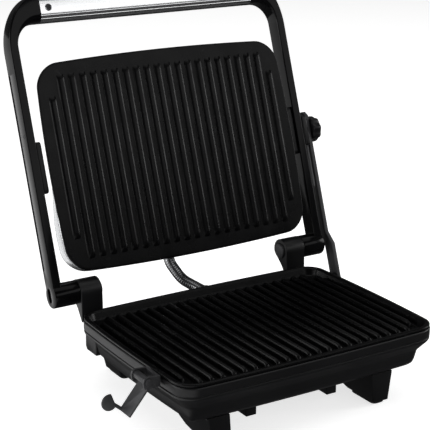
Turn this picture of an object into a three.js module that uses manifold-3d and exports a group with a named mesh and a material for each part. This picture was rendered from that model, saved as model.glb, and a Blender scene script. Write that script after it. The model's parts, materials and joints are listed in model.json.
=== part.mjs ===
// Contact grill (panini press), standing open. Millimetres, +Z up, -Y is the front, -X is the user's left.
// Working frame: x = 0 on the centre plane, y = 0 at the middle of the base, z = 0 on the worktop.
import * as THREE from 'three';
import { mergeVertices } from 'three/addons/utils/BufferGeometryUtils.js';
import Module from 'manifold-3d';

const wasm = await Module();
wasm.setup();

// ---------- driving dimensions ----------
const GAP = 0.3;                       // between parts that touch
const RIM_Z = 85;                      // top of the lower plate's rim
// half width, half depth, corner radius and bow of the sides
const BASE = { a: 153.5, b: 112.5, r: 21, bow: 3 };
const HEAD = { a: 152.5, b: 112.5, r: 26, bow: 4.5 };
// lower plate: ribs inside a raised rim; upper plate: ribs proud of a flat face
const LOWER = { under: [[9, -17], [6.5, -15.5], [6, -4.4]], floor: -9,
  count: 23, pitch: 12.6, foot: 3.6, crest: -2.6, end: 13.5, short: 13.5 };
const UPPER = { under: [[14, -8], [12, -7.4], [6, -4.4]], floor: 0,
  count: 22, pitch: 13.2, foot: 2.7, crest: 2.4, end: 11.5, short: 23 };
const HINGE = { y: 131, z: 102 };      // hinge axis, along X
const OPEN_DEG = 109.4;                // opening angle, counted from the closed lid
const LEAN = (OPEN_DEG - 90) * Math.PI / 180;
const ARM = { out: 175, in: 165, back: -11.2, front: 10 };
const KNUCKLE_R = 13;
const TOWER = { in: 120, out: 145.4, r: 13.4 };
const HEAD_S = 133;                    // head centre, measured along the arm from the hinge
const PIVOT_S = 137;                   // head pivot
const PIVOT_IN = 158.4;                // inner face of the pivot blocks
const FACE_N = 13;                     // upper plate's rim, in front of the arm's centre line
const HANDLE = { low: 291.5, high: 322, back: -12.6, front: 12.6, half: 134 };
const LATCH = { x: -170.5, y: -61, z: 80.5, width: 20, offset: 6.8, length: 34.5, hook: 19, deg: 140 };
const STAY = { in: 182.4, out: 187, width: 14.6, offset: 9, pivotS: -45, top: 157, clampS: 135.6 };
const KNOB = { r: 15.6, lobes: 8, in: 187.3, out: 199.3 };
const LEAD = { x: 10, z: 75.5, r: 6.4 };   // conduit's entry in the rear of the band
const FOOT = { x: 97, front: -81, rear: 122, padZ: 3 };

const COLOURS = {
  plastic: [0x1b1b1d, 0.55, 0], gloss: [0x0c0c0e, 0.18, 0], nonstick: [0x121213, 0.42, 0.1],
  steel: [0xc9cacc, 0.3, 1], silver: [0xd6d7d9, 0.22, 1], chrome: [0xdadcdf, 0.1, 1],
  dark: [0x38383b, 0.5, 0.4], rubber: [0x141414, 0.9, 0], ceramic: [0xd8d2c4, 0.6, 0],
  brass: [0xb08d4c, 0.35, 1], red: [0xb01818, 0.25, 0], green: [0x1f8f3a, 0.25, 0],
};

// ---------- geometry helpers ----------
const rad = (deg) => deg * Math.PI / 180;
const V = (x, y, z) => new THREE.Vector3(x, y, z);

/** Closed mesh from indexed triangles, turned so that its faces point out. */
function solid(points, index) {
  let volume = 0;
  for (let i = 0; i < index.length; i += 3) {
    const [a, b, c] = [0, 1, 2].map((k) => V(...points[index[i + k]]));
    volume += a.dot(b.cross(c));
  }
  if (volume < 0) index.reverse();
  const geometry = new THREE.BufferGeometry();
  geometry.setAttribute('position', new THREE.Float32BufferAttribute(points.flat(), 3));
  geometry.setIndex(index);
  return geometry;
}

/** Skin over rings of equal point count, with each end closed by a fan about its middle. */
function loft(rings) {
  const n = rings[0].length;
  const points = rings.flat();
  const index = [];
  for (let k = 0; k + 1 < rings.length; k++) {
    for (let i = 0; i < n; i++) {
      const [p, q] = [k * n + i, k * n + (i + 1) % n];
      index.push(p, q, q + n, p, q + n, p + n);
    }
  }
  for (const [k, flip] of [[0, true], [rings.length - 1, false]]) {
    const centre = [0, 1, 2].map((c) => rings[k].reduce((sum, p) => sum + p[c], 0) / n);
    const at = points.push(centre) - 1;
    for (let i = 0; i < n; i++) {
      const [p, q] = [k * n + i, k * n + (i + 1) % n];
      index.push(...(flip ? [at, q, p] : [at, p, q]));
    }
  }
  return solid(points, index);
}

/** Rounded rectangle with outward-bowed sides, inset by d, at height z. */
function ring({ a, b, r, bow }, d, z, corner = 5, side = 6) {
  const [A, B, R] = [a - d, b - d, Math.max(r - d, 3)];
  const centres = [[A - R, B - R, 0], [R - A, B - R, 90], [R - A, R - B, 180], [A - R, R - B, 270]];
  const points = [];
  centres.forEach(([cx, cy, start], k) => {
    for (let i = 0; i <= corner; i++) {
      const t = rad(start + 90 * i / corner);
      points.push([cx + R * Math.cos(t), cy + R * Math.sin(t)]);
    }
    const last = points[points.length - 1];
    const [nx, ny, angle] = centres[(k + 1) % 4];
    const next = [nx + R * Math.cos(rad(angle)), ny + R * Math.sin(rad(angle))];
    for (let i = 1; i < side; i++) {
      points.push([last[0] + (next[0] - last[0]) * i / side, last[1] + (next[1] - last[1]) * i / side]);
    }
  });
  return points.map(([x, y]) => [
    x * (1 + bow / A * (1 - (y / B) ** 2)), y * (1 + bow / B * (1 - (x / A) ** 2)), z]);
}

/** Flat outline extruded along +Z from z = 0. */
function extrude(outline, depth, { bevel = 0, segments = 2 } = {}) {
  const shape = new THREE.Shape(outline.map((p) => new THREE.Vector2(...p)));
  const geometry = new THREE.ExtrudeGeometry(shape, {
    depth: depth - 2 * bevel, bevelEnabled: bevel > 0, bevelSize: bevel, bevelThickness: bevel,
    bevelOffset: -bevel, bevelSegments: segments });
  return geometry.translate(0, 0, bevel);
}

/** Rounded rectangle as points, centred on (cx, cy). */
function roundRect(cx, cy, w, h, r, n = 4) {
  const points = [];
  [[1, 1, 0], [-1, 1, 90], [-1, -1, 180], [1, -1, 270]].forEach(([sx, sy, start]) => {
    for (let i = 0; i <= n; i++) {
      const t = rad(start + 90 * i / n);
      points.push([cx + sx * (w / 2 - r) + r * Math.cos(t), cy + sy * (h / 2 - r) + r * Math.sin(t)]);
    }
  });
  return points;
}

const circle = (cx, cy, r, n = 16) => Array.from({ length: n }, (_, i) => {
  const t = 2 * Math.PI * i / n;
  return [cx + r * Math.cos(t), cy + r * Math.sin(t)];
});

const basis = (...axes) => new THREE.Matrix4().makeBasis(...axes.map((axis) => V(...axis)));
/** Moves a solid built along +Z so that its axis runs along +X from x0. The outline's (u, v) becomes (y, z). */
const alongX = (geometry, x0) =>
  geometry.applyMatrix4(basis([0, 1, 0], [0, 0, 1], [1, 0, 0])).translate(x0, 0, 0);
/** The same for an axis along +Y from y0. The outline's (u, v) becomes (z, x). */
const alongY = (geometry, y0) =>
  geometry.applyMatrix4(basis([0, 0, 1], [1, 0, 0], [0, 1, 0])).translate(0, y0, 0);

/** Turned part: profile of [radius, height] pairs from axis to axis, rising along +Z. */
function turned(profile, segments = 18) {
  const points = [];
  const index = [];
  const inner = profile.slice(1, -1);
  for (const [r, z] of inner) points.push(...circle(0, 0, r, segments).map(([x, y]) => [x, y, z]));
  for (let k = 0; k + 1 < inner.length; k++) {
    for (let i = 0; i < segments; i++) {
      const [p, q] = [k * segments + i, k * segments + (i + 1) % segments];
      index.push(p, q, q + segments, p, q + segments, p + segments);
    }
  }
  const [low, high] = [profile[0], profile[profile.length - 1]].map(([, z]) => points.push([0, 0, z]) - 1);
  const top = (inner.length - 1) * segments;
  for (let i = 0; i < segments; i++) {
    index.push(low, (i + 1) % segments, i, high, top + i, top + (i + 1) % segments);
  }
  return solid(points, index);
}
const rod = (r, h, z0 = 0, segments = 18, chamfer = 0) => turned(chamfer
  ? [[0, z0], [r - chamfer, z0], [r, z0 + chamfer], [r, z0 + h - chamfer], [r - chamfer, z0 + h], [0, z0 + h]]
  : [[0, z0], [r, z0], [r, z0 + h], [0, z0 + h]], segments);

function toManifold(geometry) {
  const bare = geometry.clone();
  bare.deleteAttribute('normal');
  bare.deleteAttribute('uv');
  const merged = mergeVertices(bare.index ? bare.toNonIndexed() : bare, 1e-4);
  const p = merged.attributes.position;
  const kept = [];
  for (let i = 0; i < merged.index.count; i += 3) {
    const [a, b, c] = [merged.index.getX(i), merged.index.getX(i + 1), merged.index.getX(i + 2)];
    if (a !== b && b !== c && c !== a) kept.push(a, b, c);
  }
  const make = (tri) => new wasm.Manifold(new wasm.Mesh({
    numProp: 3, vertProperties: new Float32Array(p.array), triVerts: new Uint32Array(tri) }));
  let body = make(kept);
  if (body.volume() < 0) body = make(kept.reverse());
  return body;
}

function fromManifold(body) {
  const mesh = body.getMesh();
  const geometry = new THREE.BufferGeometry();
  geometry.setAttribute('position', new THREE.Float32BufferAttribute(Array.from(mesh.vertProperties), 3));
  geometry.setIndex(Array.from(mesh.triVerts));
  return geometry;
}

const cut = (geometry, ...tools) =>
  fromManifold(tools.reduce((body, tool) => body.subtract(toManifold(tool)), toManifold(geometry)));
const join = (geometry, ...others) =>
  fromManifold(others.reduce((body, other) => body.add(toManifold(other)), toManifold(geometry)));

const press = new THREE.Group();
press.name = 'panini_press';

function part(name, kind, geometry) {
  const [color, roughness, metalness] = COLOURS[kind];
  if (!geometry.attributes.normal) geometry.computeVertexNormals();
  const mesh = new THREE.Mesh(geometry, new THREE.MeshStandardMaterial({ color, roughness, metalness }));
  mesh.name = name;
  press.add(mesh);
  return mesh;
}

const SIDES = [['left', -1], ['right', 1]];
const box = (x0, x1, y0, y1, z0, z1) =>
  new THREE.BoxGeometry(x1 - x0, y1 - y0, z1 - z0).translate((x0 + x1) / 2, (y0 + y1) / 2, (z0 + z1) / 2);

/** Tube of radius r along a smooth curve through the points. */
function tube(points, r, steps, sides) {
  const path = new THREE.CatmullRomCurve3(points.map((p) => V(...p)), false, 'centripetal');
  const shape = new THREE.Shape(circle(0, 0, r, sides).map((p) => new THREE.Vector2(...p)));
  return new THREE.ExtrudeGeometry(shape, { steps, extrudePath: path, bevelEnabled: false });
}

// ---------- ribbed plates, heaters and heat shields (face up, rim top at z = 0) ----------
function ribbedPlate(plan, rows) {
  const outside = [...rows.under, [0.8, -3.4], [0.4, -1.2], [1.6, 0]];
  const rim = rows.floor < 0 ? [[4.6, 0], [6, -1], [8.5, rows.floor]] : [[2.4, 0]];
  const tray = loft([...outside, ...rim].map(([inset, z]) => ring(plan, inset, z)));
  const section = [[-rows.foot, rows.floor - 1], [rows.foot, rows.floor - 1], [0.7 * rows.foot, rows.crest - 1],
    [1.1, rows.crest], [-1.1, rows.crest], [-0.7 * rows.foot, rows.crest - 1]].map(([x, z]) => [z, x]);
  const ribs = [];
  for (let i = 0; i < rows.count; i++) {
    const outer = i === 0 || i === rows.count - 1;
    const half = plan.b - rows.end - (outer ? rows.short : 0);
    const x = (i - (rows.count - 1) / 2) * rows.pitch;
    ribs.push(alongY(extrude(section, 2 * half), -half).translate(x, 0, 0));
  }
  return join(tray, ...ribs);
}

function heater(plan) {
  const [x, y] = [plan.a - 48, plan.b - 38];
  const half = [[18, y + 12, 0], [18, y - 8, 0], [40, y - 20, 0], [x - 18, y - 20, 0], [x, y - 40, 0],
    [x, -y + 18, 0], [x - 18, -y, 0]];
  return tube([...half.map(([u, v]) => [-u, v, 0]), ...half.reverse()], 3.3, 52, 8);
}

function heatShield(plan) {
  return loft([ring(plan, 32, -2.4), ring(plan, 30, -1.2), ring(plan, 30, 0), ring(plan, 32, 0)]);
}

const thermostat = () => turned([[0, 0], [9, 0], [9.5, 0.6], [9.5, 5], [6, 5], [6, 8], [0, 8]], 18);

// ---------- base ----------
const shellProfile = [[27, 51], [21, 48.6], [16.6, 44.5], [14.8, 40], [12.8, 31.5], [11.6, 29], [1.4, 18],
  [0.3, 16.4], [0, 15], [0, 4]];
const shellInner = [[2.4, 4], [2.4, 14.6], [13.6, 29], [17, 41], [22, 46], [28, 48.6]];
let shell = loft([...shellProfile, ...shellInner].map(([inset, depth]) => ring(BASE, inset, RIM_Z - depth)));
const vents = [];
for (let i = 0; i < 7; i++) {
  for (const y of [-38, 38]) {
    vents.push(extrude(roundRect((i - 3) * 22, y, 5, 46, 2.4, 3), 12).translate(0, 0, RIM_Z - 56));
  }
}
vents.push(alongY(extrude(circle(LEAD.z, LEAD.x, 4.3, 18), 6), 111));    // conduit entry
vents.push(alongY(extrude(circle(RIM_Z - 38, 70, 7.2, 18), 40), 85));    // mains inlet
shell = cut(shell, ...vents);
part('base_shell', 'plastic', shell);
part('lower_plate', 'nonstick', ribbedPlate(BASE, LOWER).translate(0, 0, RIM_Z));
part('lower_heater', 'steel', heater(BASE).translate(0, 0, RIM_Z - 17 - 3.7));
part('lower_heat_shield', 'steel', heatShield(BASE).translate(0, 0, RIM_Z - 31));
part('lower_thermostat', 'ceramic', thermostat().translate(0, 10, RIM_Z - 25.4));
part('terminal_block', 'ceramic', cut(box(40, 84, 62, 80, 38, 48), box(44, 80, 66, 76, 43, 49)));

const backwards = (geometry) => geometry.rotateX(-Math.PI / 2);     // +Z becomes +Y
const leadGland = [[0, -5], [4, -5], [4, 0], [8, 0], [8, 4], [7, 5], [0, 5]];
const mainsGland = [[0, -6.4], [6.8, -6.4], [6.8, 0], [10, 0.4], [10, 2.6], [9, 3.4], [5.6, 3.4], [5.6, 9],
  [4.6, 10], [0, 10]];
part('lead_gland_base', 'rubber', backwards(turned(leadGland, 20)).translate(LEAD.x, 116.1, LEAD.z));
part('mains_gland', 'rubber', backwards(turned(mainsGland, 20)).translate(70, 104.6, RIM_Z - 38));

// legs: a moulded post with a long fairing that runs back under the shell
const BOTTOM = RIM_Z - 51 - GAP;
function leg(side, front) {
  const foot = front ? FOOT.front : FOOT.rear;
  const z0 = FOOT.padZ;
  const profile = front
    ? [[-11, z0], [34, z0], [45, z0 + 2.5], [55, 11], [64, 20], [70, BOTTOM], [-8, BOTTOM]]
    : [[-19, z0], [18, z0], [20, BOTTOM], [-15.5, BOTTOM], [-17, 20]];
  const outline = profile.map(([y, z]) => [foot + y, z]);
  const post = alongX(extrude(outline, 27, { bevel: 1.5 }), side * FOOT.x - 13.5);
  const p = post.attributes.position;
  for (let i = 0; i < p.count; i++) {           // draft: narrower towards the floor
    const t = (BOTTOM - p.getZ(i)) / BOTTOM;
    p.setX(i, side * FOOT.x + (p.getX(i) - side * FOOT.x) * (1 - 0.28 * t) + side * 4 * (1 - t));
  }
  post.computeVertexNormals();
  return post;
}
for (const [name, side] of SIDES) {
  part(`leg_front_${name}`, 'plastic', leg(side, true));
  part(`leg_rear_${name}`, 'plastic', leg(side, false));
  for (const [end, y, length] of [['front', FOOT.front + 11, 40], ['rear', FOOT.rear, 34]]) {
    part(`foot_pad_${end}_${name}`, 'rubber',
      extrude(roundRect(side * FOOT.x, y, 16, length, 5, 3), FOOT.padZ - GAP, { bevel: 0.6, segments: 1 }));
  }
  const hook = [[-7, 0], [7, 0], [7, -14], [11, -16], [11, -20], [-7, -20]]
    .map(([y, z]) => [y - 62, BOTTOM + z]);
  part(`cord_wrap_${name}`, 'plastic', alongX(extrude(hook, 13, { bevel: 1 }), side * 50 - 6.5));
}

// hinge towers behind the rear rim, each with a pin that carries the arm's knuckle
// block under each tower, behind the bowl
const BOLSTER = { in: 82, out: 136, front: 105.6, back: 131, top: 58 };
/** Side view of a tower: a round head on a neck that leans forward to the rear rim. */
function towerOutline() {
  const points = [];
  for (let i = 0; i <= 14; i++) {
    const t = rad(-32 + 220 * i / 14);
    points.push([HINGE.y + TOWER.r * Math.cos(t), HINGE.z + TOWER.r * Math.sin(t)]);
  }
  return [...points, [HINGE.y - 13.6, 88], [HINGE.y - 13.6, 50], [HINGE.y - 3, 50], [HINGE.y - 1, 72]];
}
for (const [name, side] of SIDES) {
  const x0 = side > 0 ? TOWER.in : -TOWER.out;
  const body = alongX(extrude(towerOutline(), TOWER.out - TOWER.in, { bevel: 2.4, segments: 3 }), x0);
  const block = [[BOLSTER.front, BOTTOM + GAP], [BOLSTER.back - 3, BOTTOM + GAP], [BOLSTER.back, BOTTOM + 4],
    [BOLSTER.back, BOLSTER.top - 6], [BOLSTER.back - 6, BOLSTER.top], [BOLSTER.front, BOLSTER.top]];
  const bolster = alongX(extrude(block, BOLSTER.out - BOLSTER.in, { bevel: 1.2, segments: 1 }),
    side > 0 ? BOLSTER.in : -BOLSTER.out);
  const bore = alongX(rod(4.4, 60, 0, 24), side * 132 - 30).translate(0, HINGE.y, HINGE.z);
  part(`hinge_tower_${name}`, 'plastic', cut(join(body, bolster), bore));
  const pin = turned([[0, 0], [8, 0], [9, 1], [9, 2.6], [4.1, 2.6], [4.1, 46], [3.6, 46.6], [0, 46.6]], 24);
  const laid = alongX(pin, 0).translate(TOWER.in - 2.9, 0, 0);
  if (side < 0) laid.rotateZ(Math.PI);
  part(`hinge_pin_${name}`, 'steel', laid.translate(0, HINGE.y, HINGE.z));
}

// ---------- latch on the left of the base ----------
const lugOutline = [[-7, -3.2], [-7, 13.3], [4, 13.3], [5, 0], [3.6, -3.6], [0, -5], [-3.6, -4.6]]
  .map(([z, x]) => [LATCH.z + z, LATCH.x + x]);
const lug = (y0) => alongY(extrude(lugOutline, 2.2), y0);
const half = LATCH.width / 2;
const backPlate = box(LATCH.x + 10.6, LATCH.x + 13.4, LATCH.y - half - 3, LATCH.y + half + 3,
  LATCH.z - 7, LATCH.z + 4);
const pinBore = alongY(rod(2.1, 40, 0, 16), LATCH.y - 20).translate(LATCH.x, 0, LATCH.z);
const lugs = [lug(LATCH.y - half - 3), lug(LATCH.y + half + 0.8)];
part('latch_bracket', 'dark', cut(join(backPlate, ...lugs), pinBore));
const latchPin = turned([[0, 0], [3.4, 0], [3.4, 1.4], [1.95, 1.4], [1.95, 28.4], [0, 28.4]], 16);
part('latch_pin', 'dark', alongY(latchPin, 0).translate(LATCH.x, LATCH.y - half - 4.8, LATCH.z));
// hook in its closed pose (strip up, ear over the arm), then swung out and down to where it hangs
function latchHook() {
  const w = LATCH.width;
  const strip = box(-LATCH.offset - 1, -LATCH.offset + 1, -half, half, 1, LATCH.length + 3);
  // ear on the rear edge: a disc cut flat where it lies over the arm, joined to the strip's end by a neck
  const disc = alongY(rod(8.5, 2, 0, 24), half - 2).translate(9, 0, 36.5);
  const flat = box(0, 40, half - 4, half + 2, -20, 0).rotateY(rad(29.5)).translate(-1.8, 0, 37.3);
  const neck = box(-LATCH.offset - 1, 4, half - 2, half, 34, LATCH.length + 3);
  const ear = join(cut(disc, flat), neck);
  const loop = alongY(rod(4, w, 0, 18), -half);
  const web = box(-LATCH.offset - 1, 0, -half, half, -3.6, 2.4);
  const bore = alongY(rod(2.02, w + 4, 0, 18), -half - 2);
  return cut(join(strip, ear, loop, web), bore).rotateY(-rad(LATCH.deg)).translate(LATCH.x, LATCH.y, LATCH.z);
}
part('latch_hook', 'dark', latchHook());

// ---------- lid frame: built upright at the hinge, with s along +Z and n along -Y, then leaned back ----------
const lean = (geometry) => geometry.rotateX(-LEAN).translate(0, HINGE.y, HINGE.z);
/** Outline in (x, s) extruded through n, from the back n0 to the front n1. */
function facing(outline, n0, n1, options = {}) {
  return extrude(outline, n1 - n0, options)
    .applyMatrix4(basis([1, 0, 0], [0, 0, 1], [0, -1, 0])).translate(0, -n0, 0);
}

function armOutline() {
  const points = [[ARM.in, 0], [ARM.out, 0], [ARM.out, 262]];
  for (let i = 1; i <= 9; i++) {
    const t = rad(78 * i / 9);
    points.push([ARM.out - 60 + 60 * Math.cos(t), 262 + 60 * Math.sin(t)]);
  }
  points.push([HANDLE.half + 0.3 - 8, HANDLE.high], [HANDLE.half + 0.3 - 8, HANDLE.low + 6],
    [HANDLE.half + 0.3, HANDLE.low + 6], [HANDLE.half + 0.3, HANDLE.low]);
  for (let i = 5; i >= 0; i--) {
    const t = rad(90 * i / 6);
    points.push([ARM.in - 25 + 25 * Math.cos(t), HANDLE.low - 25 + 25 * Math.sin(t)]);
  }
  return points.filter(([x]) => x >= HANDLE.half + 0.3);
}
for (const [name, side] of SIDES) {
  const flip = (geometry) => (side < 0 ? cut(geometry.clone().scale(-1, 1, 1)) : geometry);
  const beam = facing(armOutline(), ARM.back, ARM.front, { bevel: 1.4, segments: 2 });
  const knuckle = alongX(rod(KNUCKLE_R, ARM.out - TOWER.out - GAP - 0.1, 0, 28, 1.4), TOWER.out + GAP);
  const bore = alongX(rod(4.18, 60, 0, 24), 106);
  const groove = alongX(extrude(roundRect(6.6, 134, 4.6, 212, 2.3, 4), 4), ARM.out - 2);
  const dimple = alongX(extrude(roundRect(2, 1, 7, 16, 3.4, 4), 4), ARM.out - 1.6);
  part(`arm_${name}`, 'gloss', lean(flip(cut(join(beam, knuckle), bore, groove, dimple))));
  const inlay = alongX(extrude(roundRect(6.6, 134, 3.8, 211, 1.9, 4), 0.9), ARM.out - 1.7);
  part(`arm_inlay_${name}`, 'plastic', lean(flip(inlay)));
  const pivotBlock = extrude(roundRect(1.5, PIVOT_S, 18, 56, 4, 3), ARM.in - PIVOT_IN - GAP,
    { bevel: 0.9, segments: 1 });
  part(`pivot_block_${name}`, 'plastic', lean(flip(alongX(pivotBlock, PIVOT_IN))));
  const screw = facing(circle(side * 124.6, 306, 4.2, 16), HANDLE.front + GAP, HANDLE.front + GAP + 1.6,
    { bevel: 0.5, segments: 1 });
  part(`handle_screw_${name}`, 'dark', lean(screw));
}

// handle: black core in a bright channel that is open along a slot underneath
const handleSection = (inset, low) => roundRect(0, (low + HANDLE.high) / 2, 25.2 - 2 * inset,
  HANDLE.high - low - 2 * inset, 9 - inset, 4).map(([n, s]) => [-n, s]);
const coreSection = handleSection(2.2, HANDLE.low);
const sleeve = alongX(extrude(handleSection(0, HANDLE.low), 2 * HANDLE.half), -HANDLE.half);
const hollow = alongX(extrude(handleSection(1.9, HANDLE.low), 2 * HANDLE.half + 8), -HANDLE.half - 4);
part('handle_core', 'plastic', lean(alongX(extrude(coreSection, 2 * HANDLE.half - 1), -HANDLE.half + 0.5)));
const gripSlot = box(-200, 200, -5, 5, HANDLE.low - 2, HANDLE.low + 6);
part('handle_cover', 'silver', lean(cut(sleeve, hollow, gripSlot)));

// ---------- head: plate, steel cover, heater, floating on the pivots (built face up, then stood up) ----------
const stand = (geometry) => geometry.rotateX(Math.PI / 2).translate(0, -FACE_N, HEAD_S);
const onHead = (geometry) => lean(stand(geometry));
part('upper_plate', 'nonstick', onHead(ribbedPlate(HEAD, UPPER)));
// the cover is a wedge: deep at the hinge end, shallow and drawn in at the handle end
const DEEP = { outer: [[0.3, -3.9], [0.3, -17], [1.6, -21], [6, -27], [14, -32], [30, -36], [60, -38]],
  inner: [[1.6, -3.9], [1.6, -16.8], [2.8, -20.6], [7, -26], [14.8, -30.8], [30, -34.8], [60, -36.8]] };
const SHALLOW = { outer: [[3, -4.7], [3.6, -7], [6, -11.5], [10, -17], [17, -24], [32, -31], [60, -34]],
  inner: [[4.6, -4.7], [5.2, -6.6], [7.5, -10.8], [11.6, -16.4], [18.2, -23], [32.5, -29.8], [60, -32.8]] };
function wedgeRing(face, k, lift = 0) {
  const [deep, shallow] = [DEEP, SHALLOW].map((one) => ring(HEAD, ...one[face][k]));
  return deep.map((p, i) => {
    const t = Math.min(Math.max((-2 - p[1]) / 72, 0), 1);
    return p.map((value, c) => shallow[i][c] + (value - shallow[i][c]) * t + (c === 2 ? lift : 0));
  });
}
const order = DEEP.outer.map((_, k) => k);
const coverShell = cut(loft([...order].reverse().map((k) => wedgeRing('outer', k))),
  loft([wedgeRing('inner', 0, 6), ...order.map((k) => wedgeRing('inner', k))]));
const lampHoles = [-22, 0].map((x) => rod(4.3, 8, -36.3, 16).translate(x, 60, 0));
const leadSlot = extrude(roundRect(-14, -93, 40, 27, 10, 5), 16).translate(0, 0, -44);
part('head_cover', 'steel', onHead(cut(coverShell, ...lampHoles, leadSlot)));
part('upper_heater', 'steel', onHead(heater(HEAD).translate(0, 0, -11.7)));
part('upper_heat_shield', 'steel', onHead(heatShield(HEAD).translate(0, 0, -17)));
part('upper_thermostat', 'ceramic', onHead(thermostat().translate(0, 10, -16.4)));
for (const [i, kind] of ['red', 'green'].entries()) {
  part(`lamp_${kind}`, kind, onHead(turned([[0, -34.9], [2.6, -34.7], [4, -33.5], [4, -30.3], [0, -30.3]], 16)
    .translate([-22, 0][i], 60, 0)));
}

// ---------- adjustable stay on the right: slotted bar, clamp and knob ----------
const halfWidth = STAY.width / 2;
const slotLow = 66;
const barOutline = [];                          // (y, s) before the lean, round the lower eye first
for (let i = 0; i <= 8; i++) {
  const t = rad(180 + 180 * i / 8);
  barOutline.push([halfWidth * Math.cos(t) - STAY.offset, STAY.pivotS + halfWidth * Math.sin(t)]);
}
barOutline.push([halfWidth - STAY.offset, -6], [halfWidth, 9], [halfWidth, STAY.top - 5],
  [halfWidth - 5, STAY.top], [5 - halfWidth, STAY.top], [-halfWidth, STAY.top - 5], [-halfWidth, 12],
  [-halfWidth - STAY.offset, -3]);
const slot = roundRect(0, (slotLow + STAY.clampS + 6) / 2, 6.6, STAY.clampS + 6 - slotLow, 3.29, 4);
const pivotHole = circle(-STAY.offset, STAY.pivotS, 3.06, 18);
part('stay_bar', 'dark', lean(cut(alongX(extrude(barOutline, STAY.out - STAY.in), STAY.in),
  alongX(extrude(slot, 8), STAY.in - 2), alongX(extrude(pivotHole, 8), STAY.in - 2))));

/** A lid point (x, n, s) in the working frame. */
const toLid = (x, n, s) => V(x, -n, s).applyAxisAngle(V(1, 0, 0), -LEAN).add(V(0, HINGE.y, HINGE.z));
const stayPivot = toLid(0, STAY.offset, STAY.pivotS);
const footPlate = [[-6, -9], [24, -9], [24, 1.5], [-6, 1.5]]
  .map(([y, z]) => [stayPivot.y + y, stayPivot.z + z]);
const boss = [[0, 0], [5.4, 0], [5.4, 6], [7.6, 8], [7.6, 32.6], [3, 32.6], [3, 37.6], [0, 37.6]];
part('stay_bracket', 'plastic', join(
  alongX(extrude(footPlate, 4, { bevel: 0.5, segments: 1 }), TOWER.out + GAP),
  alongX(turned(boss, 20), TOWER.out + 4).translate(0, stayPivot.y, stayPivot.z)));
part('stay_rivet', 'steel', alongX(turned([[0, 0], [5.6, 0], [4.4, 2], [0, 2.6]], 16), STAY.out + GAP)
  .translate(0, stayPivot.y, stayPivot.z));

const clampBlock = extrude(roundRect(0, STAY.clampS - 1, 21, 36, 2.5, 3), STAY.in - ARM.out - 2 * GAP,
  { bevel: 0.8, segments: 1 });
const studHole = alongX(rod(3.05, 30, 0, 18), ARM.out + 1.6).translate(0, 0, STAY.clampS);
part('clamp_block', 'plastic', lean(cut(alongX(clampBlock, ARM.out + GAP), studHole)));
part('clamp_stud', 'steel', lean(alongX(rod(2.95, STAY.in - ARM.out - 2.4, 0, 18), ARM.out + 2)
  .translate(0, 0, STAY.clampS)));
const lobes = Array.from({ length: 48 }, (_, i) => {
  const t = 2 * Math.PI * i / 48;
  const r = KNOB.r - 0.9 + 0.9 * Math.cos(KNOB.lobes * t);
  return [r * Math.cos(t), r * Math.sin(t)];
});
const knob = alongX(extrude(lobes, KNOB.out - KNOB.in, { bevel: 1.4, segments: 2 }), KNOB.in);
part('clamp_knob', 'plastic', lean(knob.translate(0, 0, STAY.clampS)));

// ---------- flexible metal conduit from the base to the head ----------
const conduitPath = [[LEAD.x, 121.6, LEAD.z], [LEAD.x, 124, LEAD.z], [6, 133, 78], [-4, 146, 85.5],
  [-10, 156, 97],
  ...[[-12, -27, 10], [-13, -28, 24], [-14, -24, 36], [-14, -16, 43]].map((p) => toLid(...p).toArray())];
part('lead_conduit', 'chrome', tube(conduitPath, LEAD.r, 30, 12));

// ---------- origin at the middle of the bounding box's bottom ----------
const bounds = new THREE.Box3().setFromObject(press);
const middle = bounds.getCenter(V(0, 0, 0));
for (const mesh of press.children) mesh.geometry.translate(-middle.x, -middle.y, -bounds.min.z);

export default press;
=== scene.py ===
"""Open contact grill (panini press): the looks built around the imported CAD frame."""

import json
import math

import bmesh
import bpy
from mathutils import Matrix, Vector


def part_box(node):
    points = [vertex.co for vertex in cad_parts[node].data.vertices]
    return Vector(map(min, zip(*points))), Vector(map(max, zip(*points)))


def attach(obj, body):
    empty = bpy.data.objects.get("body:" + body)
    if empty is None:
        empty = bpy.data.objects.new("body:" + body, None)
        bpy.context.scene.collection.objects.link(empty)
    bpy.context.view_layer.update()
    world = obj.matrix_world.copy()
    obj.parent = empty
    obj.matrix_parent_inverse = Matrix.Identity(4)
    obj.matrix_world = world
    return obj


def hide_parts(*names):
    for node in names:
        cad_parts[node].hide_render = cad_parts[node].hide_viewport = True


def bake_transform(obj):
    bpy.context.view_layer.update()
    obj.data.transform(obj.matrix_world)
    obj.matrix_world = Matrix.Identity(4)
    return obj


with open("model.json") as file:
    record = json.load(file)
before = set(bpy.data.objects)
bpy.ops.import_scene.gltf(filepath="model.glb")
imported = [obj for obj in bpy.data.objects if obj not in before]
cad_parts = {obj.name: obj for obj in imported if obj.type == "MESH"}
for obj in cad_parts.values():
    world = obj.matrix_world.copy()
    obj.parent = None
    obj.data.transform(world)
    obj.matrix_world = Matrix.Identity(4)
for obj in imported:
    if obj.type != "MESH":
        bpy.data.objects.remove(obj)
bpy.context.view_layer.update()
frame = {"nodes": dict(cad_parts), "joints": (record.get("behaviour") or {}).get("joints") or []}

# ---------- places in the row frame ----------
MM = 0.001
JOINTS = {joint["name"]: joint for joint in frame["joints"]}


def middle(node):
    low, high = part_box(node)
    return (low + high) / 2


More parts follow.
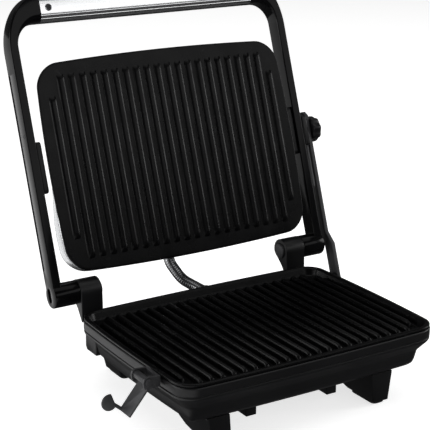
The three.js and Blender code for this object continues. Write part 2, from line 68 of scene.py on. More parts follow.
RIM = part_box("lower_plate")[1].z / MM
BASE_AT = Matrix.Translation((middle("base_shell").x, middle("base_shell").y, 0))
LEAN = math.radians(JOINTS["lid_hinge"]["range_deg"][1] - 90)
LID_AT = Matrix.Translation(JOINTS["lid_hinge"]["pos_m"]) @ Matrix.Rotation(-LEAN, 4, "X")
FACE_N, HEAD_S, PIVOT_S = 13, 133, 137        # upper plate's face, head centre and head pivot along the arm
HEAD_AT = (LID_AT @ Matrix.Translation((0, -FACE_N * MM, HEAD_S * MM))
           @ Matrix.Rotation(math.pi / 2, 4, "X"))
HINGE = BASE_AT.inverted() @ Vector(JOINTS["lid_hinge"]["pos_m"]) / MM

# ---------- dimensions, in millimetres ----------
BASE = {"a": 153.5, "b": 112.5, "r": 21, "bow": 3}
HEAD = {"a": 152.5, "b": 112.5, "r": 26, "bow": 4.5}
# plates: underside profile and ribs; a rib's flank runs from foot to crest, as shares of width and height
LOWER = {"under": [(9, -17), (6.5, -15.5), (6, -4.4)], "floor": -9, "crest": -2.6, "foot": 4.3,
         "pitch": 12.6, "count": 23, "end": 12.5, "short": 13.5,
         "flank": [(1, 0), (0.72, 0.12), (0.56, 0.6), (0.31, 0.96)]}
UPPER = {"under": [(14, -8), (12, -7.4), (6, -4.4)], "floor": 0, "crest": 2.4, "foot": 5.2,
         "pitch": 13.2, "count": 22, "end": 11.5, "short": 23,
         "flank": [(1, 0), (0.9, 0.2), (0.72, 0.62), (0.36, 0.93)]}
ARM = {"out": 175, "in": 165, "back": -11.2, "front": 10}
TOWER = {"in": 120, "out": 145.4, "r": 13.4}
PIN_BORE = 4.2
HANDLE = {"low": 291.5, "high": 322, "half": 134, "thick": 25.2, "round": 9, "wall": 1.9, "screw_x": 124.6}
BEND_S, BEND_R = 262, 25                      # where the arms start to bend, and the bend's inner radius
KNOB = {"r": 15.6, "in": 187.3, "s": 135.6, "lobes": 8, "scallop": 0.9}
LAMPS = {"red": -22, "green": 0}              # x on the head
LAMP_Y = 60
LEAD = {"x": 10, "z": 75.5, "r": 6.3, "pitch": 2.6, "swell": 0.14}
INLET_X = 70


# ---------- mesh helpers: points in millimetres in a piece's own frame ----------
def ring(plan, inset, z, corner=12, side=12):
    """Rounded rectangle with outward-bowed sides."""
    a, b = plan["a"] - inset, plan["b"] - inset
    r = max(plan["r"] - inset, 3)
    centres = [(a - r, b - r, 0), (r - a, b - r, 90), (r - a, r - b, 180), (a - r, r - b, 270)]
    flat = []
    for k, (cx, cy, start) in enumerate(centres):
        for i in range(corner + 1):
            t = math.radians(start + 90 * i / corner)
            flat.append((cx + r * math.cos(t), cy + r * math.sin(t)))
        nx, ny, angle = centres[(k + 1) % 4]
        t = math.radians(angle)
        last, following = flat[-1], (nx + r * math.cos(t), ny + r * math.sin(t))
        for i in range(1, side):
            f = i / side
            flat.append((last[0] + (following[0] - last[0]) * f, last[1] + (following[1] - last[1]) * f))
    bow = plan["bow"]
    return [(x * (1 + bow / a * (1 - (y / b) ** 2)), y * (1 + bow / b * (1 - (x / a) ** 2)), z)
            for x, y in flat]


def rounded(line, radius, n=4):
    """Polyline with its inner corners rounded."""
    out = [line[0]]
    for before, at, after in zip(line, line[1:], line[2:]):
        p, a, b = Vector(at), Vector(before), Vector(after)
        reach = min(radius, (a - p).length * 0.45, (b - p).length * 0.45)
        start, end = p + (a - p).normalized() * reach, p + (b - p).normalized() * reach
        for i in range(n + 1):
            t = i / n
            out.append(tuple(start * (1 - t) ** 2 + p * (2 * t * (1 - t)) + end * t ** 2))
    return out + [line[-1]]


def loft(rings):
    """Closed body through rings of equal length."""
    n = len(rings[0])
    verts = [p for one in rings for p in one]
    faces = [tuple(range(n))[::-1], tuple(range(len(verts) - n, len(verts)))]
    for k in range(len(rings) - 1):
        for i in range(n):
            j = (i + 1) % n
            faces.append((k * n + i, k * n + j, (k + 1) * n + j, (k + 1) * n + i))
    return verts, faces


def along(axis, u, v, t):
    """Point at t along an axis. For x the others are (y, z), for y they are (x, z), for z they are (x, y)."""
    return {"x": (t, u, v), "y": (u, t, v), "z": (u, v, t)}[axis]


def prism(outline, start, end, axis="x"):
    """Outline carried along one axis."""
    return loft([[along(axis, u, v, t) for u, v in outline] for t in (start, end)])


def round_rect(cx, cy, w, h, r, n=8):
    out = []
    for sx, sy, start in [(1, 1, 0), (-1, 1, 90), (-1, -1, 180), (1, -1, 270)]:
        x, y = cx + sx * (w / 2 - r), cy + sy * (h / 2 - r)
        for i in range(n + 1):
            t = math.radians(start + 90 * i / n)
            out.append((x + r * math.cos(t), y + r * math.sin(t)))
    return out


def circle(cx, cy, r, n=48):
    turns = [2 * math.pi * i / n for i in range(n)]
    return [(cx + r * math.cos(t), cy + r * math.sin(t)) for t in turns]


def turned(profile, centre=(0, 0, 0), axis="x", n=48):
    """Body of revolution from (radius, height) pairs."""
    rings = [[tuple(Vector(centre) + Vector(along(axis, u, v, h))) for u, v in circle(0, 0, max(r, 0.01), n)]
             for r, h in profile]
    return loft(rings)


def together(*bodies):
    verts, faces = [], []
    for v, f in bodies:
        faces += [tuple(i + len(verts) for i in face) for face in f]
        verts += v
    return verts, faces


def mirrored(body, side):
    """The body itself, or its mirror image in x for the left side."""
    verts, faces = body
    return (verts, faces) if side > 0 else ([(-x, y, z) for x, y, z in verts], faces)


def mesh_from(name, body):
    mesh = bpy.data.meshes.new(name)
    mesh.from_pydata([Vector(v) * MM for v in body[0]], [], body[1])
    bm = bmesh.new()
    bm.from_mesh(mesh)
    bmesh.ops.recalc_face_normals(bm, faces=bm.faces)
    bm.to_mesh(mesh)
    bm.free()
    return mesh


def bake(obj):
    """Turns the object's modifiers into its mesh."""
    bpy.context.view_layer.update()
    mesh = bpy.data.meshes.new_from_object(obj.evaluated_get(bpy.context.evaluated_depsgraph_get()))
    obj.modifiers.clear()
    obj.data = mesh


def bevel(obj, width, angle, segments=3):
    m = obj.modifiers.new("edges", "BEVEL")
    m.limit_method, m.angle_limit = "ANGLE", math.radians(angle)
    m.width, m.segments, m.use_clamp_overlap = width * MM, segments, True


def combine(obj, body, operation):
    tool = bpy.data.objects.new("tool", mesh_from("tool", body))
    bpy.context.scene.collection.objects.link(tool)
    tool.matrix_world = obj.matrix_world
    m = obj.modifiers.new("shape", "BOOLEAN")
    m.object, m.operation, m.solver = tool, operation, "EXACT"
    bake(obj)
    bpy.data.objects.remove(tool)


def piece(name, body, place, material, on, instead=(), edge=0, angle=40, segments=3, sharp=38, add=(),
          cut=(), cut_edge=0):
    """Makes one visible piece, rides it on its body and hides the CAD nodes that it stands for."""
    obj = bpy.data.objects.new(name, mesh_from(name, body))
    bpy.context.scene.collection.objects.link(obj)
    obj.matrix_world = place
    if edge:
        bevel(obj, edge, angle, segments)
        bake(obj)
    for operation, tools in (("UNION", add), ("DIFFERENCE", cut)):
        for tool in tools:
            combine(obj, tool, operation)
    if cut_edge:
        bevel(obj, cut_edge, 60, 2)
        bake(obj)
    finish_piece(obj, material, sharp)
    if on:
        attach(obj, on)
    if instead:
        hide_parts(*instead)
    return obj


def finish_piece(obj, material, sharp=38):
    for polygon in obj.data.polygons:
        polygon.use_smooth = True
    obj.data.set_sharp_from_angle(angle=math.radians(sharp))
    obj.data.materials.clear()
    obj.data.materials.append(material)


def refined(node, place, material, on, edge=0.5, angle=32, segments=2, sharp=38):
    """The CAD node's shape with flat faces merged, its edges rounded and its shading smoothed."""
    source = frame["nodes"][node].data
    back = place.inverted()
    mesh = bpy.data.meshes.new(node + "_fine")
    mesh.from_pydata([back @ v.co for v in source.vertices], [],
                     [tuple(p.vertices) for p in source.polygons])
    bm = bmesh.new()
    bm.from_mesh(mesh)
    bmesh.ops.remove_doubles(bm, verts=bm.verts, dist=0.02 * MM)
    bmesh.ops.dissolve_limit(bm, angle_limit=math.radians(1.5), verts=bm.verts, edges=bm.edges)
    bm.to_mesh(mesh)
    bm.free()
    obj = bpy.data.objects.new(node + "_fine", mesh)
    bpy.context.scene.collection.objects.link(obj)
    obj.matrix_world = place
    if edge:
        bevel(obj, edge, angle, segments)
        bake(obj)
    finish_piece(obj, material, sharp)
    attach(obj, on)
    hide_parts(node)
    return obj


# ---------- materials ----------
def coat(name, colour, second, rough, metal=0.0, specular=0.5, patch=9.0, stretch=(1, 1, 1),
         rough_vary=0.08, grain=900.0, bump=0.12, depth=0.00004, clear=0.0, scratch=0.0,
         scratch_colour=(0.3, 0.3, 0.3)):
    """Procedural finish: patchy colour, uneven roughness, fine grain and faint scratches."""
    material = bpy.data.materials.new(name + "_look")
    material["slot"] = name
    material.use_nodes = True
    tree = material.node_tree
    shader = tree.nodes["Principled BSDF"]
    shader.inputs["Metallic"].default_value = metal
    shader.inputs["Specular IOR Level"].default_value = specular
    shader.inputs["Coat Weight"].default_value = clear
    shader.inputs["Coat Roughness"].default_value = 0.06

    def node(kind, **values):
        made = tree.nodes.new(kind)
        for key, value in values.items():
            setattr(made, key, value)
        return made

    def wire(a, out, b, into):
        tree.links.new(a.outputs[out], b.inputs[into])

    where = node("ShaderNodeTexCoord")
    spread = node("ShaderNodeMapping")
    spread.inputs["Scale"].default_value = stretch
    wire(where, "Object", spread, "Vector")

    def noise(scale, detail, source=spread, out="Vector", distortion=0.0):
        made = node("ShaderNodeTexNoise")
        made.inputs["Scale"].default_value = scale
        made.inputs["Detail"].default_value = detail
        made.inputs["Distortion"].default_value = distortion
        wire(source, out, made, "Vector")
        return made

    def remap(source, low, high, into, socket, start=0.3, end=0.7):
        made = node("ShaderNodeMapRange")
        for key, value in zip(("From Min", "From Max", "To Min", "To Max"), (start, end, low, high)):
            made.inputs[key].default_value = value
        wire(source, "Fac", made, "Value")
        wire(made, "Result", into, socket)
        return made

    blotches = noise(patch, 5, where, "Object", 0.3)
    mix = node("ShaderNodeMix", data_type="RGBA")
    mix.inputs["A"].default_value = (*colour, 1)
    mix.inputs["B"].default_value = (*second, 1)
    remap(blotches, 0, 1, mix, "Factor")
    last = mix
    if scratch:
        lines = noise(38, 3, where, "Object", 6.0)
        worn = node("ShaderNodeMix", data_type="RGBA")
        wire(mix, "Result", worn, "A")
        worn.inputs["B"].default_value = (*scratch_colour, 1)
        remap(lines, 0, scratch, worn, "Factor", 0.66, 0.72)
        last = worn
    wire(last, "Result", shader, "Base Color")
    smudges = noise(patch * 2.7, 6)
    remap(smudges, max(rough - rough_vary, 0.02), rough + rough_vary, shader, "Roughness")
    fine = noise(grain, 2)
    relief = node("ShaderNodeBump")
    relief.inputs["Strength"].default_value = bump
    relief.inputs["Distance"].default_value = depth
    wire(fine, "Fac", relief, "Height")
    wire(relief, "Normal", shader, "Normal")
    return material


PLASTIC = coat("base_plastic", (0.004, 0.004, 0.0045), (0.007, 0.007, 0.0075), 0.38, specular=0.22,
               grain=1500, bump=0.35, depth=0.00005, rough_vary=0.05)
GLOSS = coat("arm_gloss", (0.0015, 0.0015, 0.0018), (0.003, 0.003, 0.0033), 0.14, specular=0.1,
             rough_vary=0.05, bump=0.03, grain=260)
NONSTICK = coat("nonstick", (0.002, 0.002, 0.0022), (0.0035, 0.0035, 0.0037), 0.27, specular=0.1,
                grain=1900, bump=0.4, depth=0.00006, rough_vary=0.07, patch=14, scratch=0.25,
                scratch_colour=(0.02, 0.02, 0.021))
BRUSHED = coat("brushed_cover", (0.56, 0.57, 0.58), (0.66, 0.66, 0.67), 0.27, metal=1,
               stretch=(1, 60, 60), grain=70, bump=0.25, depth=0.00003, rough_vary=0.07)
SILVER = coat("handle_metal", (0.7, 0.71, 0.72), (0.78, 0.78, 0.79), 0.22, metal=1,
              stretch=(1, 80, 80), grain=60, bump=0.18, depth=0.00002, rough_vary=0.05)
PLATED = coat("plated", (0.2, 0.205, 0.21), (0.27, 0.27, 0.275), 0.2, metal=1, grain=500, bump=0.05)
STEEL = coat("fastener_steel", (0.5, 0.5, 0.51), (0.6, 0.6, 0.6), 0.26, metal=1, grain=700, bump=0.1)
LATCH = coat("latch_metal", (0.03, 0.03, 0.032), (0.042, 0.042, 0.044), 0.42, metal=0.3, specular=0.2,
             grain=800, bump=0.2, scratch=0.3, scratch_colour=(0.16, 0.16, 0.16))
RUBBER = coat("rubber", (0.01, 0.01, 0.01), (0.015, 0.015, 0.015), 0.8, specular=0.15, grain=1100,
              bump=0.5, depth=0.0001)
CERAMIC = coat("ceramic", (0.6, 0.55, 0.46), (0.7, 0.66, 0.57), 0.55, grain=900, bump=0.2)
RED = coat("lens_red", (0.35, 0.01, 0.01), (0.45, 0.02, 0.015), 0.12, clear=0.6, grain=300, bump=0.02)
GREEN = coat("lens_green", (0.01, 0.16, 0.04), (0.02, 0.22, 0.06), 0.12, clear=0.6, grain=300, bump=0.02)

# ---------- base ----------
# the band, the sloped step and the bowl: inset from the plan, depth below the rim
SHELL = rounded([(27, 51), (21, 48.6), (16.6, 44.5), (14.8, 40), (12.8, 31.5), (11.6, 29), (1.4, 18),
                 (0.3, 16.4), (0.2, 14.6), (1.1, 14.1), (1.1, 13.3), (0, 12.8), (0, 5), (0.7, 4)], 1.4)
HOLLOW = [(2.4, 4), (2.4, 14.6), (13.6, 29), (17, 41), (22, 46), (28, 48.6)]
vents = [prism(round_rect((i - 3) * 22, y, 5, 46, 2.4), RIM - 56, RIM - 44, "z")
         for i in range(7) for y in (-38, 38)]
piece("base_shell_fine", loft([ring(BASE, d, RIM - depth) for d, depth in SHELL + HOLLOW]), BASE_AT,
      PLASTIC, "base", ["base_shell"],
      cut=[*vents, prism(circle(LEAD["x"], LEAD["z"], 4.6, 32), 108, 122, "y"),
           prism(circle(INLET_X, RIM - 38, 7.2, 32), 88, 122, "y")])


def rib(x, half, rows):
    """One grill rib with a rounded crest and ends that run down to the floor."""
    foot, floor, crest = rows["foot"], rows["floor"] - 0.5, rows["crest"]
    flank = rows["flank"]
    section = rounded([*[(-u, v) for u, v in flank], (0, 1), *reversed(flank)], 0.12, 2)
    run = foot / 4.3
    stations = [(run * y - half, rise)
                for y, rise in ((0, 0.02), (0.8, 0.3), (2.2, 0.68), (4.2, 0.92), (6.5, 1))]
    stations += [(-y, rise) for y, rise in reversed(stations)]
    rings = []
    for y, rise in stations:
        reach, height = foot * (0.8 + 0.2 * rise), (crest - floor) * rise
        top = [(x + reach * u, y, floor + height * v) for u, v in section]
        rings.append([*top, (x + foot, y, floor - 1), (x - foot, y, floor - 1)])
    return loft(rings)


def ribbed_plate(plan, rows):
    """Plate with its face up: a raised rim round a sunk floor, or a flat face, and the ribs on it."""
    floor = rows["floor"]
    rim = [(4.6, -0.1), (6, -1.2), (8.5, floor + 0.9), (9.6, floor)] if floor < 0 else []
    edge = [(0.8, -3.4), (0.4, -1.2), (1.2, -0.15), (2.8, 0)]
    profile = rounded([*rows["under"], *edge, *rim, (30, floor)], 1.2)
    tray = loft([ring(plan, d, z) for d, z in profile])
    ribs = []
    for i in range(rows["count"]):
        short = rows["short"] if i in (0, rows["count"] - 1) else 0
        x = (i - (rows["count"] - 1) / 2) * rows["pitch"]
        ribs.append(rib(x, plan["b"] - rows["end"] - short, rows))
    return together(tray, *ribs)


piece("lower_plate_fine", ribbed_plate(BASE, LOWER), BASE_AT @ Matrix.Translation((0, 0, RIM * MM)),
      NONSTICK, "base", ["lower_plate"], sharp=50)
for side in ("left", "right"):
    for end in ("front", "rear"):
        refined(f"leg_{end}_{side}", BASE_AT, PLASTIC, "base", 1.2, 25, 3)
        refined(f"foot_pad_{end}_{side}", BASE_AT, RUBBER, "base", 0.5)
    refined(f"cord_wrap_{side}", BASE_AT, PLASTIC, "base", 0.8)
refined("terminal_block", BASE_AT, CERAMIC, "base", 0.5)
refined("lead_gland_base", BASE_AT, RUBBER, "base", 0.4)
refined("mains_gland", BASE_AT, RUBBER, "base", 0.4)
refined("stay_bracket", BASE_AT, PLASTIC, "base", 0.6)
refined("latch_bracket", BASE_AT, LATCH, "base", 0.4)
refined("latch_pin", BASE_AT, LATCH, "base", 0.4)
refined("latch_hook", Matrix.Translation(JOINTS["latch_pivot"]["pos_m"]), LATCH, "latch", 0.35)

# hinge towers, a round head on a neck that leans forward, with the blocks under them and their pins
BOTTOM = RIM - 51.3
arc = [math.radians(-20 + 208 * i / 26) for i in range(27)]
tower = [(HINGE.y + TOWER["r"] * math.cos(t), HINGE.z + TOWER["r"] * math.sin(t)) for t in arc]
tower += [(HINGE.y + back, z) for back, z in ((-13.6, 88), (-13.6, 71), (-12, 71), (-2.5, 84))]
web = [(HINGE.y + back, z) for back, z in ((-15, 50), (-5, 50), (-8, 86), (-13.4, 86))]
bolster = [(105.6, BOTTOM + 0.3), (128, BOTTOM + 0.3), (131, BOTTOM + 4), (131, 52), (125, 58), (105.6, 58)]
pin_profile = [(0, 0), (6.6, 0), (8.3, 0.5), (9, 1.4), (9, 2.6), (4.1, 2.6), (4.1, 46), (3.6, 46.6),
               (0, 46.6)]
for side, sign in (("left", -1), ("right", 1)):
    post = mirrored(prism(tower, TOWER["in"], TOWER["out"]), sign)
    block = mirrored(together(prism(bolster, 82, 136), prism(web, TOWER["in"] + 2, 134)), sign)
    pin = mirrored(turned(pin_profile, (TOWER["in"] - 2.9, HINGE.y, HINGE.z)), sign)
    piece(f"hinge_tower_{side}_fine", post, BASE_AT, PLASTIC, "base", [f"hinge_tower_{side}"],
          edge=2.2, angle=35, segments=5)
    piece(f"hinge_bolster_{side}", block, BASE_AT, PLASTIC, "base", edge=1.6, angle=35, segments=4)
    piece(f"hinge_pin_{side}_fine", pin, BASE_AT, LATCH, "base", [f"hinge_pin_{side}"])

# ---------- lid frame ----------
def arm_section(inner, outer, back, front, radii):
    """Loop round the beam between two points of its outline. The radii start at the outer front edge."""
    inner, outer = Vector(inner), Vector(outer)
    width = (outer - inner).length
    corners = [(width, front, -1, -1, 0), (0, front, 1, -1, 90), (0, back, 1, 1, 180),
               (width, back, -1, 1, 270)]
    loop = []
    for (u, n, su, sn, start), r in zip(corners, radii):
        for i in range(7):
            t = math.radians(start + 15 * i)
            across = inner.lerp(outer, (u + su * r + r * math.cos(t)) / width)
            loop.append((across.x, -(n + sn * r + r * math.sin(t)), across.y))
    return loop


def arm_beam():
    """Straight beam that widens and softens round its bend into the end of the handle."""
    end, low = HANDLE["half"] + 0.3, HANDLE["low"]
    steps, turned_by = 32, 0.88               # the inner side has turned before it runs out along the handle
    run_out = ARM["in"] - BEND_R - end
    straight = (ARM["back"], ARM["front"], (1.5, 1.6, 2.4, 2.4))
    rings = [arm_section((ARM["in"], s), (ARM["out"], s), *straight)
             for s in (0, 60, 120, 180, 240, BEND_S - 3)]
    for k in range(steps + 1):
        t = k / steps
        a, b = math.pi / 2 * t, math.pi / 2 * min(t / turned_by, 1)
        left = run_out * (1 - max(t - turned_by, 0) / (1 - turned_by))
        outer = (end + (ARM["out"] - end) * math.cos(a), BEND_S + (HANDLE["high"] - BEND_S) * math.sin(a))
        inner = (end + left + BEND_R * math.cos(b), low - BEND_R + BEND_R * math.sin(b))
        w = t * t * (3 - 2 * t)
        rings.append(arm_section(inner, outer, ARM["back"] - 1.4 * w, ARM["front"] + 2.6 * w,
                                 (1.5 + 1.5 * w, 1.6 + 6.9 * w, 2.4 + 6 * w, 2.4 + 6 * w)))
    return loft(rings)


knuckle = turned([(0, 0), (11.4, 0), (12.6, 0.5), (13, 1.6), (13, 28.2), (12.6, 29), (11.6, 29.4), (0, 29.4)],
                 (TOWER["out"] + 0.3, 0, 0), n=64)
bore = prism(circle(0, 0, PIN_BORE, 32), TOWER["in"], ARM["out"] - 2.6)
groove = prism(round_rect(6.6, 134, 4.6, 212, 2.3), ARM["out"] - 1.9, ARM["out"] + 2)
dimple = prism(round_rect(2, 1, 7, 16, 3.4), ARM["out"] - 1.6, ARM["out"] + 2)
inlay = prism(round_rect(6.6, 134, 3.9, 211.2, 1.9), ARM["out"] - 1.8, ARM["out"] - 0.8)
pivot_block = prism(round_rect(1.5, PIVOT_S, 18, 56, 4), 158.4, ARM["in"] - 0.3)
arm_screw = turned([(0, 0), (1.9, 0), (2.1, 0.2), (2, 0.4), (1.2, 0.6), (1, 0.3), (0, 0.3)],
                   (ARM["out"] - 0.1, -4.5, 172), n=32)
for side, sign in (("left", -1), ("right", 1)):
    piece(f"arm_{side}_fine", mirrored(arm_beam(), sign), LID_AT, GLOSS, "lid_frame", [f"arm_{side}"],
          add=[mirrored(knuckle, sign)], cut=[mirrored(tool, sign) for tool in (bore, groove, dimple)],
          cut_edge=0.35)
    piece(f"arm_inlay_{side}_fine", mirrored(inlay, sign), LID_AT, PLASTIC, "lid_frame",
          [f"arm_inlay_{side}"], edge=0.3)
    piece(f"pivot_block_{side}_fine", mirrored(pivot_block, sign), LID_AT, PLASTIC, "lid_frame",
          [f"pivot_block_{side}"], edge=1.2, segments=4)
    front = (sign * HANDLE["screw_x"], -HANDLE["thick"] / 2, 306)
    head = turned([(0, 0.1), (2.9, 0.1), (3.1, -0.9), (2.6, -1.5), (1.5, -1.7), (1.3, -0.9), (0, -0.9)],
                  front, "y")
    washer = turned([(2.8, 0.15), (3.7, 0.15), (3.9, -0.3), (3.7, -0.7), (3.2, -0.8), (2.8, -0.5)],
                    front, "y")
    piece(f"handle_screw_{side}_fine", head, LID_AT, LATCH, "lid_frame", [f"handle_screw_{side}"])
    piece(f"handle_washer_{side}", washer, LID_AT, PLATED, "lid_frame")
    piece(f"arm_screw_{side}", mirrored(arm_screw, sign), LID_AT, LATCH, "lid_frame")


def handle_section(inset):
    """Rounded section of the handle bar in (y, s)."""
    low, high = HANDLE["low"], HANDLE["high"]
    return [(-n, s) for n, s in round_rect(0, (low + high) / 2, HANDLE["thick"] - 2 * inset,
                                           high - low - 2 * inset, HANDLE["round"] - inset, 10)]


# bright sleeve round a black core, with a slot underneath and two fine seams low on the front
low, grip = HANDLE["low"], HANDLE["half"]
hollow = prism(handle_section(HANDLE["wall"]), -grip - 4, grip + 4)
slit = prism([(-5, low - 2), (5, low - 2), (5, low + 6), (-5, low + 6)], -grip - 4, grip + 4)
seams = [prism([(y, s - 0.35), (y, s + 0.35), (y - 4, s + 0.35), (y - 4, s - 0.35)], -grip - 4, grip + 4)
         for y, s in ((-11.6, low + 6.5), (-9.8, low + 3.2))]
piece("handle_cover_fine", prism(handle_section(0), -grip, grip), LID_AT, SILVER, "lid_frame",
      ["handle_cover"], cut=[hollow, slit, *seams])
piece("handle_core_fine", prism(handle_section(2.2), -grip + 0.5, grip - 0.5), LID_AT, PLASTIC,
      "lid_frame", ["handle_core"], edge=0.6, angle=50)
refined("clamp_block", LID_AT, PLASTIC, "lid_frame", 0.8)

# ---------- head ----------
piece("upper_plate_fine", ribbed_plate(HEAD, UPPER), HEAD_AT, NONSTICK, "head", ["upper_plate"], sharp=50)
# the cover's outer and inner profiles at the hinge end (deep) and at the handle end (shallow)
DEEP = (rounded([(60, -38), (30, -36), (14, -32), (6, -27), (1.6, -21), (0.3, -17), (0.3, -4.6),
                 (0.9, -3.9)], 5, 6),
        rounded([(1.9, -3.9), (1.9, -16.8), (3, -20.4), (7.2, -25.8), (14.9, -30.6), (30, -34.6),
                 (60, -36.6)], 3))
SHALLOW = (rounded([(60, -34), (32, -31), (17, -24), (10, -17), (6, -11.5), (3.6, -7), (3, -5),
                    (3.4, -4.5)], 5, 6),
           rounded([(4.8, -4.6), (5.4, -6.5), (7.7, -10.6), (11.8, -16.2), (18.4, -22.8), (32.5, -29.8),
                    (60, -32.8)], 3))


def wedge(deep, shallow):
    """Rings that follow the deep profile at the hinge end and the shallow one at the handle end."""
    rings = []
    for one, other in zip(deep, shallow):
        mixed = []
        for p, q in zip(ring(HEAD, *one), ring(HEAD, *other)):
            t = min(max((-2 - p[1]) / 72, 0), 1)
            mixed.append(tuple(Vector(q).lerp(Vector(p), t * t * (3 - 2 * t))))
        rings.append(mixed)
    return rings


slot = prism(round_rect(-14, -93, 40, 27, 10), -44, -28, "z")
holes = [prism(circle(x, LAMP_Y, 4.3, 32), -37, -28, "z") for x in LAMPS.values()]
piece("head_cover_fine", loft([*wedge(DEEP[0], SHALLOW[0]), *wedge(DEEP[1], SHALLOW[1])]), HEAD_AT,
      BRUSHED, "head", ["head_cover"], cut=[slot, *holes], cut_edge=0.3)
for lamp, lens in (("red", RED), ("green", GREEN)):
    centre = (LAMPS[lamp], LAMP_Y, 0)
    body = turned([(0, -35.7), (1.6, -35.5), (2.9, -34.9), (3.8, -33.7), (4, -32.9), (4, -30.3), (0, -30.3)],
                  centre, "z")
    bezel = turned([(4.05, -32.3), (4.05, -33.9), (4.6, -34.3), (5.8, -34), (6.2, -33.2), (5, -32.3)],
                   centre, "z")
    piece(f"lamp_{lamp}_fine", body, HEAD_AT, lens, "head", [f"lamp_{lamp}"])
    piece(f"lamp_bezel_{lamp}", bezel, HEAD_AT, PLATED, "head")

# ---------- stay, clamp knob and rivet ----------
refined("stay_bar", LID_AT, LATCH, "stay", 0.4)
refined("stay_rivet", BASE_AT, PLATED, "stay", 0.2)
knob_rings = []
# along the axis: distance from the inner face, share of the radius, depth of the scallops
for x, share, depth in ((0, 0.86, 0.4), (0.6, 0.96, 0.8), (1.8, 1, 1), (8.6, 0.98, 1), (10.4, 0.93, 0.9),
                        (11.4, 0.84, 0.7), (11.8, 0.66, 0.35), (11.2, 0.5, 0.1), (11.0, 0.3, 0),
                        (11.4, 0.1, 0)):
    one = []
    for i in range(96):
        t = 2 * math.pi * i / 96
        r = share * (KNOB["r"] - depth * KNOB["scallop"] * (1 - math.cos(KNOB["lobes"] * t)))
        one.append((KNOB["in"] + x, r * math.cos(t), KNOB["s"] + r * math.sin(t)))
    knob_rings.append(one)
piece("clamp_knob_fine", loft(knob_rings), LID_AT, PLASTIC, "clamp_knob", ["clamp_knob"], sharp=60)

# ---------- gooseneck conduit from the base to the head ----------
LINE = [BASE_AT @ (Vector(p) * MM) for p in ((LEAD["x"], 121.6, LEAD["z"]), (LEAD["x"], 124, LEAD["z"]),
                                            (6, 133, 78), (-4, 146, 85.5), (-10, 156, 97))]
LINE += [LID_AT @ (Vector(p) * MM) for p in ((-12, 27, 10), (-13, 28, 24), (-14, 24, 36), (-14, 16, 43))]


def smooth_line(points, steps):
    """Centripetal curve through the points."""
    ends = [points[0] * 2 - points[1], *points, points[-1] * 2 - points[-2]]
    out = []
    for p0, p1, p2, p3 in zip(ends, ends[1:], ends[2:], ends[3:]):
        t0 = 0.0
        t1 = t0 + (p1 - p0).length ** 0.5
        t2 = t1 + (p2 - p1).length ** 0.5
        t3 = t2 + (p3 - p2).length ** 0.5
        for i in range(steps):
            t = t1 + (t2 - t1) * i / steps
            a1 = p0 * ((t1 - t) / (t1 - t0)) + p1 * ((t - t0) / (t1 - t0))
            a2 = p1 * ((t2 - t) / (t2 - t1)) + p2 * ((t - t1) / (t2 - t1))
            a3 = p2 * ((t3 - t) / (t3 - t2)) + p3 * ((t - t2) / (t3 - t2))
            b1 = a1 * ((t2 - t) / (t2 - t0)) + a2 * ((t - t0) / (t2 - t0))
            b2 = a2 * ((t3 - t) / (t3 - t1)) + a3 * ((t - t1) / (t3 - t1))
            out.append(b1 * ((t2 - t) / (t2 - t1)) + b2 * ((t - t1) / (t2 - t1)))
    return out + [points[-1]]


def hose(line, radius, pitch, swell, sides=24):
    """Corrugated tube along a line, which is given in metres."""
    line = [p / MM for p in line]
    side = Vector((1, 0, 0))
    travelled, rings = 0.0, []
    samples = []
    for a, b in zip(line, line[1:]):
        count = max(1, round((b - a).length / (pitch / 6)))
        samples += [a.lerp(b, i / count) for i in range(count)]
    samples.append(line[-1])
    for i, p in enumerate(samples):
        ahead = samples[min(i + 1, len(samples) - 1)] - samples[max(i - 1, 0)]
        ahead.normalize()
        side = (side - ahead * side.dot(ahead)).normalized()
        up = ahead.cross(side)
        travelled += (p - samples[i - 1]).length if i else 0
        r = radius - swell * (0.5 - 0.5 * math.cos(2 * math.pi * travelled / pitch))
        rings.append([tuple(p + side * (r * math.cos(t)) + up * (r * math.sin(t)))
                      for t in (2 * math.pi * k / sides for k in range(sides))])
    return loft(rings)


tube = hose(smooth_line(LINE, 10), LEAD["r"], LEAD["pitch"], LEAD["swell"])
conduit = piece("lead_conduit_fine", tube, Matrix.Identity(4), PLATED, None, ["lead_conduit"], sharp=70)
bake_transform(conduit)

# ---------- CAD nodes that stay as they are: small inner hardware ----------
for node, material in (("lower_heater", STEEL), ("upper_heater", STEEL), ("lower_heat_shield", STEEL),
                       ("upper_heat_shield", STEEL), ("lower_thermostat", CERAMIC),
                       ("upper_thermostat", CERAMIC), ("clamp_stud", STEEL)):
    kept = frame["nodes"][node]
    kept.data.materials.clear()
    kept.data.materials.append(material)

# ---------- floor, light and camera ----------
paper = bpy.data.materials.new("floor_paper")
paper.use_nodes = True
for socket, value in (("Base Color", (0.85, 0.85, 0.85, 1)), ("Roughness", 0.9),
                      ("Specular IOR Level", 0.0), ("Emission Color", (1, 1, 1, 1)),
                      ("Emission Strength", 0.72)):
    paper.node_tree.nodes["Principled BSDF"].inputs[socket].default_value = value
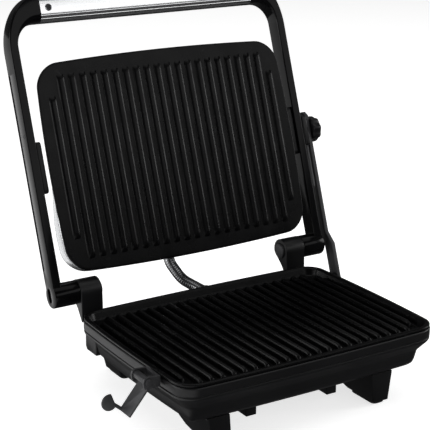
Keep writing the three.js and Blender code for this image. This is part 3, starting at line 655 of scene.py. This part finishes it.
# the floor left of the grill shows in its glossy sides; the floor in front of it does not
for name, west, east, mirrored_in in (("floor_left", -9, -0.17, True), ("floor_right", -0.17, 9, False)):
    floor_mesh = bpy.data.meshes.new(name)
    floor_mesh.from_pydata([(west, -6, 0), (east, -6, 0), (east, 16, 0), (west, 16, 0)], [],
                           [(0, 1, 2, 3)])
    floor_mesh.materials.append(paper)
    floor = bpy.data.objects.new(name, floor_mesh)
    bpy.context.scene.collection.objects.link(floor)
    floor.visible_glossy = mirrored_in

world = bpy.data.worlds.new("studio")
bpy.context.scene.world = world
world.use_nodes = True
world.node_tree.nodes["Background"].inputs["Color"].default_value = (1, 1, 1, 1)
world.node_tree.nodes["Background"].inputs["Strength"].default_value = 0.06


def softbox(name, at, aim, size, power):
    light = bpy.data.lights.new(name, "AREA")
    light.shape, light.size, light.size_y, light.energy = "RECTANGLE", *size, power
    obj = bpy.data.objects.new(name, light)
    bpy.context.scene.collection.objects.link(obj)
    obj.location = at
    obj.rotation_euler = (Vector(aim) - Vector(at)).to_track_quat("-Z", "Y").to_euler()
    return obj


softbox("overhead", (0, 0.3, 2.6), (0, 0, 0), (3.4, 3.4), 36)
softbox("left", (-1.9, 0.5, 0.5), (0, 0, 0.1), (2.2, 0.8), 26)
softbox("front", (0.9, -2.1, 1.42), (0, 0, 0.35), (2.8, 0.9), 12)
softbox("right", (2.2, -0.6, 0.8), (0, 0, 0.25), (0.9, 1.0), 18)

camera_data = bpy.data.cameras.new("camera")
camera_data.sensor_width = 36
camera_data.lens = 113.63
camera_data.clip_end = 60
camera = bpy.data.objects.new("camera", camera_data)
bpy.context.scene.collection.objects.link(camera)
camera.location = BASE_AT @ Vector((-0.73584, -1.11341, 0.61108))
azimuth, elevation = math.radians(-31.61), math.radians(17.15)
backward = Vector((math.sin(azimuth) * math.cos(elevation), -math.cos(azimuth) * math.cos(elevation),
                   math.sin(elevation)))
camera.rotation_euler = backward.to_track_quat("Z", "Y").to_euler()
bpy.context.scene.camera = camera
bpy.context.scene.view_settings.view_transform = "Standard"
